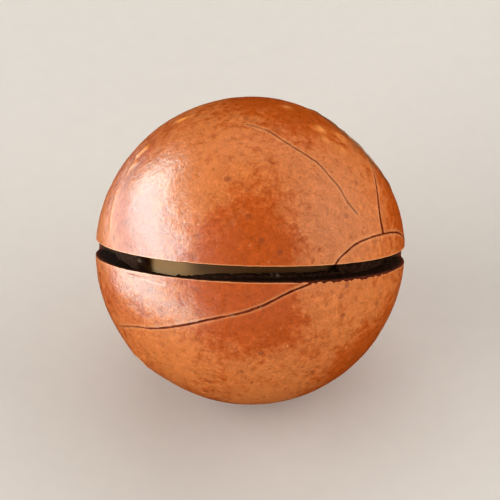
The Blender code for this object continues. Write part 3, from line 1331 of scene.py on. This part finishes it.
    def spun(self, half: float) -> bpy.types.Object:
        """Spins the profile round the axis and closes the ends.

        Args:
            half: half the angle that it is spun through.

        Returns:
            The cutter, before it gets its sizes.
        """
        cutter = self.profile()
        with editing(cutter):
            bpy.ops.mesh.select_all(action="SELECT")
            bpy.ops.mesh.spin(steps=self.steps, angle=2 * half, center=(0, 0, 0), axis=(0, 0, 1))
            bpy.ops.mesh.select_all(action="SELECT")
            bpy.ops.mesh.fill_holes(sides=0)
            bpy.ops.mesh.normals_make_consistent(inside=False)
        return cutter

    def slice(self, form: NutForm) -> bpy.types.Object:
        """Makes what the blade took away: the section spun round the nut, then set to the nut's own size.

        Args:
            form: the nut's form.

        Returns:
            The cutter, with bevelled and chipped lips and slightly wavy walls.
        """
        half = self.sweep + self.run_out(form.radius + self.clearance, form)
        cutter = self.spun(half)
        plain = points_of(cutter)
        turned = np.arctan2(plain[:, 0], -plain[:, 1])
        along = np.where(turned > 0.01, turned - 2 * math.pi, turned) + half
        share = (np.hypot(plain[:, 0], plain[:, 1]) - 1) / 2
        side = plain[:, 2]
        radius, flare = self.section(along, share, side, form)
        rim = self.spots(along, form.radius, side * self.width / 2)
        wavy = self.waviness * seeded_noise(rim * (radius / form.radius)[:, None], 0.5 * MM, 4.0)
        reach = self.width / 2 + flare + wavy + self.undercut_at(along, share, side)
        local = self.spots(along, radius, side * reach + self.above_middle)
        move_points(cutter, local @ np.array(self.tilt()).T + np.array(form.centre))
        return cutter


@dataclass(frozen=True)
class Mark:
    """A small raised or sunken mark on the skin, along a line of spots."""

    spots: Route
    width: float
    height: float = 0.0
    pale: float = 0.0
    steps: int = 24

    def line(self) -> list[Vector]:
        """Follows the mark's middle.

        Returns:
            Directions close together, or the one direction of a mark that is a spot.
        """
        ends = [VIEW.at_spot(*spot) for spot in self.spots]
        if len(ends) == 1:
            return ends
        return [
            start.lerp(end, step / self.steps).normalized()
            for start, end in zip(ends, ends[1:])
            for step in range(self.steps + 1)
        ]

    def spread(self, ways: Array, radius: float) -> Array:
        """Spreads the mark over the skin.

        Args:
            ways: directions from the nut's middle.
            radius: the radius of the ball that the mark lies on.

        Returns:
            1 on the mark's line and nothing well away from it, for each direction.
        """
        share = np.zeros(len(ways))
        middle = sum(self.line(), Vector()).normalized()
        reach = max(middle.angle(end) for end in self.line()) + 3 * self.width / radius
        close = angle_between(ways, middle) < reach
        distances = Closeness([self.line()], radius).distances(ways[close])
        share[close] = bell(distances, self.width)
        return share


MARKS = (
    Mark(((0.451, 0.764),), 0.5 * MM, 0.09 * MM, 1.0),
    Mark(((0.477, 0.70),), 0.36 * MM, 0.05 * MM, 0.6),
    Mark(((0.582, 0.722),), 0.5 * MM, 0.085 * MM, 0.8),
    Mark(((0.582, 0.722),), 0.18 * MM, -0.09 * MM, -1.2),
    Mark(((0.54, 0.66), (0.60, 0.63)), 0.3 * MM, 0.03 * MM, 0.4),
    Mark(((0.236, 0.919),), 0.4 * MM, 0.06 * MM, 0.7),
    # Painted partly as a glint: this spot is brighter than its tone
    Mark(((-0.455, 0.84), (-0.43, 0.85)), 0.4 * MM, 0.08 * MM, 1.2),
    Mark(((0.69, 0.265),), 0.14 * MM, 0.03 * MM, 0.7),
    # Painted partly as a glint: this streak is brighter than its tone
    Mark(((-0.725, 0.612), (-0.675, 0.66)), 0.36 * MM, 0.08 * MM, 1.2),
    Mark(((-0.77, 0.535), (-0.74, 0.565)), 0.3 * MM, 0.05 * MM, 0.7),
    Mark(((-0.80, 0.42), (-0.76, 0.50), (-0.70, 0.575)), 0.3 * MM, -0.03 * MM, -0.8),
    Mark(((-0.895, 0.12), (-0.885, 0.26), (-0.85, 0.39)), 0.3 * MM, 0.04 * MM, 0.4),
    Mark(((-0.82, 0.47), (-0.74, 0.62), (-0.64, 0.72)), 0.2 * MM, -0.03 * MM, -0.6),
    # A groove with a painted shadow line along it
    Mark(((-0.78, -0.155), (-0.66, -0.185), (-0.55, -0.215)), 0.1 * MM, -0.06 * MM, -0.3),
)

CRUMBS = (
    Mark(((-0.823, -0.076),), 0.11 * MM),
    Mark(((-0.785, -0.085),), 0.08 * MM),
    Mark(((0.163, -0.177),), 0.1 * MM),
    Mark(((0.206, -0.187),), 0.12 * MM),
    Mark(((-0.112, -0.414),), 0.13 * MM),
)


@dataclass(frozen=True)
class Scar:
    """The rough round scar where the nut hung in its husk, with a broken rim and a raised hub."""

    form: NutForm
    reach: float = math.radians(30)
    # The floor fades in from the first of these angles to the second
    edge: tuple[float, float] = (math.radians(23), math.radians(17))
    hub_edge: tuple[float, float] = (0.03, 0.12)
    rim: float = math.radians(21.5)
    rim_width: float = math.radians(1.6)
    hub_width: float = math.radians(5.0)
    floor_height: float = 0.06 * MM
    rim_height: float = 0.07 * MM
    hub_height: float = 0.16 * MM

    def streaks(self, ways: Array) -> Array:
        """Follows the fibres that ran from the husk into the scar.

        Args:
            ways: directions from the nut's middle.

        Returns:
            How light each fibre is, about -1 to 1, fading out at the hub.
        """
        turn = np.array(self.form.to_scar.to_track_quat("Z", "Y").to_matrix())
        from_scar = angle_between(ways, self.form.to_scar)
        streaks = np.zeros(len(ways))
        close = from_scar < self.reach
        local = ways[close] @ turn
        rings = local[:, :2] / np.maximum(np.linalg.norm(local[:, :2], axis=1), 1e-9)[:, None]
        polar = np.column_stack([rings * 3, from_scar[close] * 2.5])
        coarse, fine = seeded_noise(polar, 0.5, 61.0), seeded_noise(polar, 0.2, 67.0)
        streaks[close] = (coarse + 0.6 * fine) * smooth_step(from_scar[close], *self.hub_edge)
        return streaks

    def relief(self, ways: Array) -> Array:
        """Measures the scar's relief.

        Args:
            ways: directions from the nut's middle.

        Returns:
            The height of its floor, rim and hub at each.
        """
        height = np.zeros(len(ways))
        from_scar = angle_between(ways, self.form.to_scar)
        close = from_scar < self.reach
        near, spots = from_scar[close], ways[close] * self.form.radius
        inside = smooth_step(near, *self.edge)
        rough = 0.7 * seeded_noise(spots, 1.2 * MM, 31.0) + 0.4 * seeded_noise(spots, 0.5 * MM, 37.0)
        rough = rough + 0.9 * self.streaks(ways[close])
        rim = bell(near - self.rim, self.rim_width) * (0.6 + seeded_noise(spots, 1.5 * MM, 41.0))
        hub = bell(near, self.hub_width)
        height[close] = self.floor_height * rough * inside + self.rim_height * rim + self.hub_height * hub
        return height


@dataclass(frozen=True)
class Pore:
    """The small pore opposite the scar: a ring with a dimple in it."""

    form: NutForm
    fine_reach: float = 1.4 * MM
    ring: float = math.radians(3.6)
    ring_width: float = math.radians(0.9)
    ring_height: float = 0.025 * MM
    dimple_width: float = math.radians(2.4)
    dimple_depth: float = 0.05 * MM

    def beyond(self, ways: Array) -> Array:
        """The distance of each direction on the skin from the finely modelled place at the pore."""
        return self.form.radius * angle_between(ways, self.form.to_pore) - self.fine_reach

    def relief(self, ways: Array) -> Array:
        """Measures the pore's relief.

        Args:
            ways: directions from the nut's middle.

        Returns:
            The height of its ring and dimple at each.
        """
        from_pore = angle_between(ways, self.form.to_pore)
        ring = self.ring_height * bell(from_pore - self.ring, self.ring_width)
        return ring - self.dimple_depth * bell(from_pore, self.dimple_width)


@dataclass
class Shell:
    """The woody shell: skin, wall and cavity, sawn and cracked."""

    form: NutForm
    slit: SawSlit = field(default_factory=SawSlit)
    cracks: tuple[Crack, ...] = CRACKS
    marks: tuple[Mark, ...] = MARKS
    crumbs: tuple[Mark, ...] = CRUMBS
    fineness: int = 7
    cavity_fineness: int = 6
    fine_reach: float = 0.42 * MM
    lip_lift: float = 0.022 * MM
    lip_width: float = 0.3 * MM
    # The name, size and height of each unevenness of the skin
    ripples: tuple[tuple[str, float, float], ...] = (
        ("broad_ripples", 2.3 * MM, 0.085 * MM),
        ("fine_ripples", 0.9 * MM, 0.026 * MM),
    )
    # The clouds' value that moves nothing: above their middle, so the ripples sink the skin a little
    ripple_middle: float = 0.62
    crease: float = math.radians(38)

    def build(self) -> bpy.types.Object:
        """Models and dresses the shell.

        Returns:
            The shell, hollow, sawn and cracked.
        """
        shell = self.skin()
        self.dress(shell)
        cutters = [(self.hollow(), Surface.LINING), (self.slit.slice(self.form), Surface.SAWN)]
        cutters += [(crack.blade(self.form), Surface.CRACK) for crack in self.cracks]
        for cutter, surface in cutters:
            self.carve(shell, cutter, surface)
        self.paint_skin(shell)
        pick_only(shell)
        bpy.ops.object.shade_smooth_by_angle(angle=self.crease)
        return shell

    def skin(self) -> bpy.types.Object:
        """Models the outside before anything is cut from it: a ball set to the nut's form, with its relief.

        Returns:
            The ball, cut off flat at the floor.
        """
        shell = new_ball("shell_fine", self.fineness)
        cracks = self.closeness()
        marks = Closeness([mark.line() for mark in self.marks], self.form.radius)
        pore = Pore(self.form)

        def close(ways: Array) -> Array:
            """Measures how far inside the finely modelled places directions are.

            Args:
                ways: directions from the nut's middle.

            Returns:
                The distance inside, below nothing for a direction outside them all.
            """
            at_slit = self.slit.beside(ways * self.form.radius + np.array(self.form.centre), self.form)
            nearest = np.minimum(np.minimum(cracks.distances(ways), marks.distances(ways)), at_slit)
            return self.fine_reach - np.minimum(nearest, pore.beyond(ways))

        refine(shell, close)
        ways = ways_of(points_of(shell), Vector())
        relief = self.mark_relief(ways) + Scar(self.form).relief(ways) + pore.relief(ways)
        relief = relief + self.lip_lift * bell(cracks.distances(ways), self.lip_width)
        move_points(shell, np.array(self.form.centre) + ways * (self.form.skin(ways) + relief)[:, None])
        for name, size, height in self.ripples:
            self.ripple(shell, name, size, height)
        with editing(shell):
            bpy.ops.mesh.select_all(action="SELECT")
            bpy.ops.mesh.bisect(plane_no=(0, 0, 1), use_fill=True, clear_inner=True, threshold=1e-7)
        return shell

    def closeness(self) -> Closeness:
        """What measures the distance to the nearest crack."""
        return Closeness([crack.route() for crack in self.cracks], self.form.radius)

    def ripple(self, shell: bpy.types.Object, name: str, size: float, height: float) -> None:
        """Gives the skin an unevenness.

        Args:
            shell: the shell.
            name: what the unevenness is called.
            size: how wide its ripples are.
            height: how high they are.
        """
        clouds = bpy.data.textures.new(name, "CLOUDS")
        clouds.noise_scale = size
        clouds.noise_basis = "IMPROVED_PERLIN"
        finish_with(
            shell,
            "DISPLACE",
            texture=clouds,
            strength=height,
            mid_level=self.ripple_middle,
            texture_coords="LOCAL",
        )
        bpy.data.textures.remove(clouds)

    def mark_relief(self, ways: Array) -> Array:
        """Measures the relief of the skin's small marks.

        Args:
            ways: directions from the nut's middle.

        Returns:
            The height of the marks at each.
        """
        height = np.zeros(len(ways))
        for mark in self.marks:
            height = height + mark.height * mark.spread(ways, self.form.radius)
        return height

    def hollow(self) -> bpy.types.Object:
        """Models the cavity that the kernel lies in.

        Returns:
            The cavity, as a body to cut with.
        """
        hollow = new_ball("cavity", self.cavity_fineness)
        ways = ways_of(points_of(hollow), Vector())
        move_points(hollow, np.array(self.form.centre) + ways * self.form.cavity(ways)[:, None])
        return hollow

    def dress(self, shell: bpy.types.Object) -> None:
        """Gives the shell its finishes, in the order of its surfaces.

        Args:
            shell: the shell.
        """
        finishes = {
            Surface.SKIN: RoastedSkin().material(self.form),
            Surface.SAWN: SawnWood().material(self.form),
            Surface.LINING: ShellLining().material(self.form),
            Surface.CRACK: CrackWood().material(),
        }
        for surface in Surface:
            shell.data.materials.append(finishes[surface])

    def carve(self, shell: bpy.types.Object, cutter: bpy.types.Object, surface: Surface) -> None:
        """Subtracts a cutter from the shell and removes the cutter.

        Args:
            shell: the shell.
            cutter: the body to cut with.
            surface: which finish the cut's walls take.
        """
        for material in shell.data.materials:
            cutter.data.materials.append(material)
        cutter.data.polygons.foreach_set("material_index", [surface.value] * len(cutter.data.polygons))
        finish_with(shell, "BOOLEAN", object=cutter, operation="DIFFERENCE", solver="MANIFOLD")
        bpy.data.objects.remove(cutter)

    def paint_skin(self, shell: bpy.types.Object) -> None:
        """Stores on each point what its finish asks for, such as how far it is from the slit and the cracks.

        Args:
            shell: the shell.
        """
        points = points_of(shell)
        ways = ways_of(points, self.form.centre)
        paint(shell, "from_crack", self.closeness().distances(ways))
        paint(shell, "from_slit", self.slit.beside(points, self.form))
        # Tan share, with painted sheen, rim light and shade
        paint(shell, "tan_and_light_share", RoastedSkin().tan_and_light_share(ways))
        paint(shell, "scar_streak", Scar(self.form).streaks(ways))
        # Pale and dark marks, with painted glints on two and a painted shadow line on one
        pale = np.zeros(len(ways))
        for mark in self.marks:
            pale = pale + mark.pale * mark.spread(ways, self.form.radius)
        paint(shell, "mark_tone_and_light", pale)
        paint(shell, "crumb", sum(crumb.spread(ways, self.form.radius) for crumb in self.crumbs))


@dataclass
class Kernel:
    """The loose kernel, with its point under the pore and the seam between its seed leaves."""

    form: NutForm
    slit: SawSlit = field(default_factory=SawSlit)
    fineness: int = 6
    dent_depth: float = 0.09 * MM
    pucker_depth: float = 0.07 * MM
    pucker_reach: float = 0.5
    # Where the painted shade under the slit lies, how strong it is, and where its darker right part fades in
    strip_width: float = 1.3 * MM
    shade_share: float = 0.95
    deep_shade_fade: tuple[float, float] = (-0.62, -0.40)

    def build(self) -> bpy.types.Object:
        """Models and dresses the kernel.

        Returns:
            The kernel, dented all over and puckered at its point.
        """
        kernel = new_ball("kernel_fine", self.fineness)
        ways = ways_of(points_of(kernel), Vector())
        spots = ways * self.form.kernel_radius
        dents = 0.5 * (1 + seeded_noise(spots, 4.5 * MM, 51.0)) * self.dent_depth
        puckers = np.abs(seeded_noise(spots, 1.1 * MM, 57.0))
        puckers = puckers * bell(angle_between(ways, self.form.to_pore), self.pucker_reach)
        distance = self.form.kernel(ways) - dents - self.pucker_depth * puckers
        move_points(kernel, np.array(self.form.kernel_centre) + ways * distance[:, None])
        self.paint_slit_shade(kernel)
        kernel.data.materials.append(KernelFlesh().material())
        pick_only(kernel)
        bpy.ops.object.shade_smooth()
        return kernel

    def paint_slit_shade(self, kernel: bpy.types.Object) -> None:
        """Paints shade on the strip under the slit, darker towards the right.

        Args:
            kernel: the kernel.
        """
        along, above = self.slit.own_frame(points_of(kernel), self.form)
        strip = self.shade_share * bell(above, self.strip_width) * (np.abs(along) < math.pi / 2)
        paint(kernel, "slit_shade", strip)
        paint(kernel, "slit_deep_shade", strip * smooth_step(along, *self.deep_shade_fade))


# The studio


class Use(Enum):
    """What a soft light does: whether it lights the nut, and whether the nut's gloss mirrors it."""

    FILL = (True, False)
    GLINT = (False, True)


@dataclass(frozen=True)
class Softbox:
    """A soft light with a straight-edged face, turned to the nut or lying on the floor face up."""

    name: str
    azimuth: float
    height: float
    distance: float
    size: tuple[float, float]
    radiance: float
    use: Use
    colour: Colour = (1.0, 0.97, 0.93)
    lying: bool = False

    def hang(self, target: Vector) -> None:
        """Hangs the light at its distance round the nut, with its middle at its height.

        Args:
            target: the spot that it is turned to, unless it lies on the floor.
        """
        bpy.ops.object.select_all(action="DESELECT")
        turn = math.radians(self.azimuth)
        place = Vector((math.sin(turn) * self.distance, -math.cos(turn) * self.distance, self.height))
        bpy.ops.object.light_add(type="AREA", location=place)
        light = bpy.context.object
        light.name = light.data.name = self.name
        light.rotation_euler = (target - place).to_track_quat("-Z", "Y").to_euler()
        if self.lying:
            light.rotation_euler = (math.pi, 0, 0)
        light.data.shape = "RECTANGLE"
        light.data.size, light.data.size_y = self.size
        light.data.color = self.colour
        light.data.energy = self.radiance * math.pi * self.size[0] * self.size[1]
        light.visible_camera = False
        light.visible_diffuse, light.visible_glossy = self.use.value


@dataclass(frozen=True)
class Studio:
    """A pale floor, soft lights and the camera."""

    form: NutForm
    floor_side: float = 4.0
    air: Colour = (1.0, 0.95, 0.9)
    air_strength: float = 0.33
    camera_distance: float = 0.35
    nut_share_of_frame: float = 0.62
    softboxes: tuple[Softbox, ...] = (
        Softbox("key_fill", -72, 0.13, 0.27, (0.34, 0.24), 3.7, Use.FILL),
        Softbox("key_glint", -97, 0.085, 0.25, (0.37, 0.155), 6.8, Use.GLINT, (0.66, 0.98, 1.0)),
        Softbox("rim_glint", -107.5, 0.001, 0.1, (0.12, 0.066), 2.6, Use.GLINT, lying=True),
        Softbox("low_glint", -72, 0.001, 0.119, (0.154, 0.075), 5.5, Use.GLINT, (0.66, 1.0, 1.0), True),
        Softbox("low_fill", -20, 0.015, 0.3, (0.4, 0.03), 3.6, Use.FILL),
        Softbox("low_right_fill", 100, 0.018, 0.3, (0.3, 0.036), 2.8, Use.FILL),
        Softbox("right_fill", 98, 0.2, 0.32, (0.5, 0.36), 2.05, Use.FILL),
        Softbox("right_glint", 98, 0.2, 0.32, (0.3, 0.2), 0.6, Use.GLINT),
        Softbox("back_fill", 178, 0.26, 0.22, (0.3, 0.14), 3.1, Use.FILL),
        Softbox("front_fill", 30, 0.075, 0.3, (0.5, 0.13), 1.5, Use.FILL),
    )

    def build(self) -> None:
        """Sets up the floor, the lights, the air and the camera."""
        self.lay_floor()
        for softbox in self.softboxes:
            softbox.hang(self.form.centre)
        self.light_air()
        self.place_camera()
        bpy.context.scene.view_settings.view_transform = "Standard"

    def lay_floor(self) -> None:
        """Lays the floor just under the nut."""
        bpy.ops.object.select_all(action="DESELECT")
        bpy.ops.mesh.primitive_plane_add(size=self.floor_side)
        floor = bpy.context.object
        floor.name = "floor"
        floor.data.materials.append(PaleCard().material())
        floor.visible_glossy = False

    def light_air(self) -> None:
        """Gives the studio its faint light from all round."""
        world = bpy.data.worlds.new("studio_air")
        bpy.context.scene.world = world
        world.use_nodes = True
        background = world.node_tree.nodes["Background"]
        background.inputs["Color"].default_value = (*self.air, 1)
        background.inputs["Strength"].default_value = self.air_strength
        world.cycles_visibility.glossy = False

    def place_camera(self) -> None:
        """Points a long lens at the nut's middle from the viewer's direction."""
        bpy.ops.object.select_all(action="DESELECT")
        bpy.ops.object.camera_add(location=self.form.centre + VIEW.towards * self.camera_distance)
        camera = bpy.context.object
        camera.name = "camera"
        camera.rotation_euler = (-VIEW.towards).to_track_quat("-Z", "Y").to_euler()
        half_width = self.form.radius / self.nut_share_of_frame / self.camera_distance
        camera.data.lens = camera.data.sensor_width / 2 / half_width
        camera.data.clip_start = 0.01
        bpy.context.scene.camera = camera


# The whole


def main() -> None:
    """Builds the nut and its studio."""
    logging.basicConfig(level=logging.INFO, format="%(name)s: %(message)s")
    form = NutForm()
    Studio(form).build()
    shell = Shell(form).build()
    kernel = Kernel(form).build()
    for piece, node, slot in ((shell, "shell", Slot.SHELL), (kernel, "kernel", Slot.KERNEL)):
        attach(piece, "root")
        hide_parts(node)
        log.info("%s: %d faces in place of %s", piece.name, len(piece.data.polygons), node)


if __name__ == "__main__":
    main()
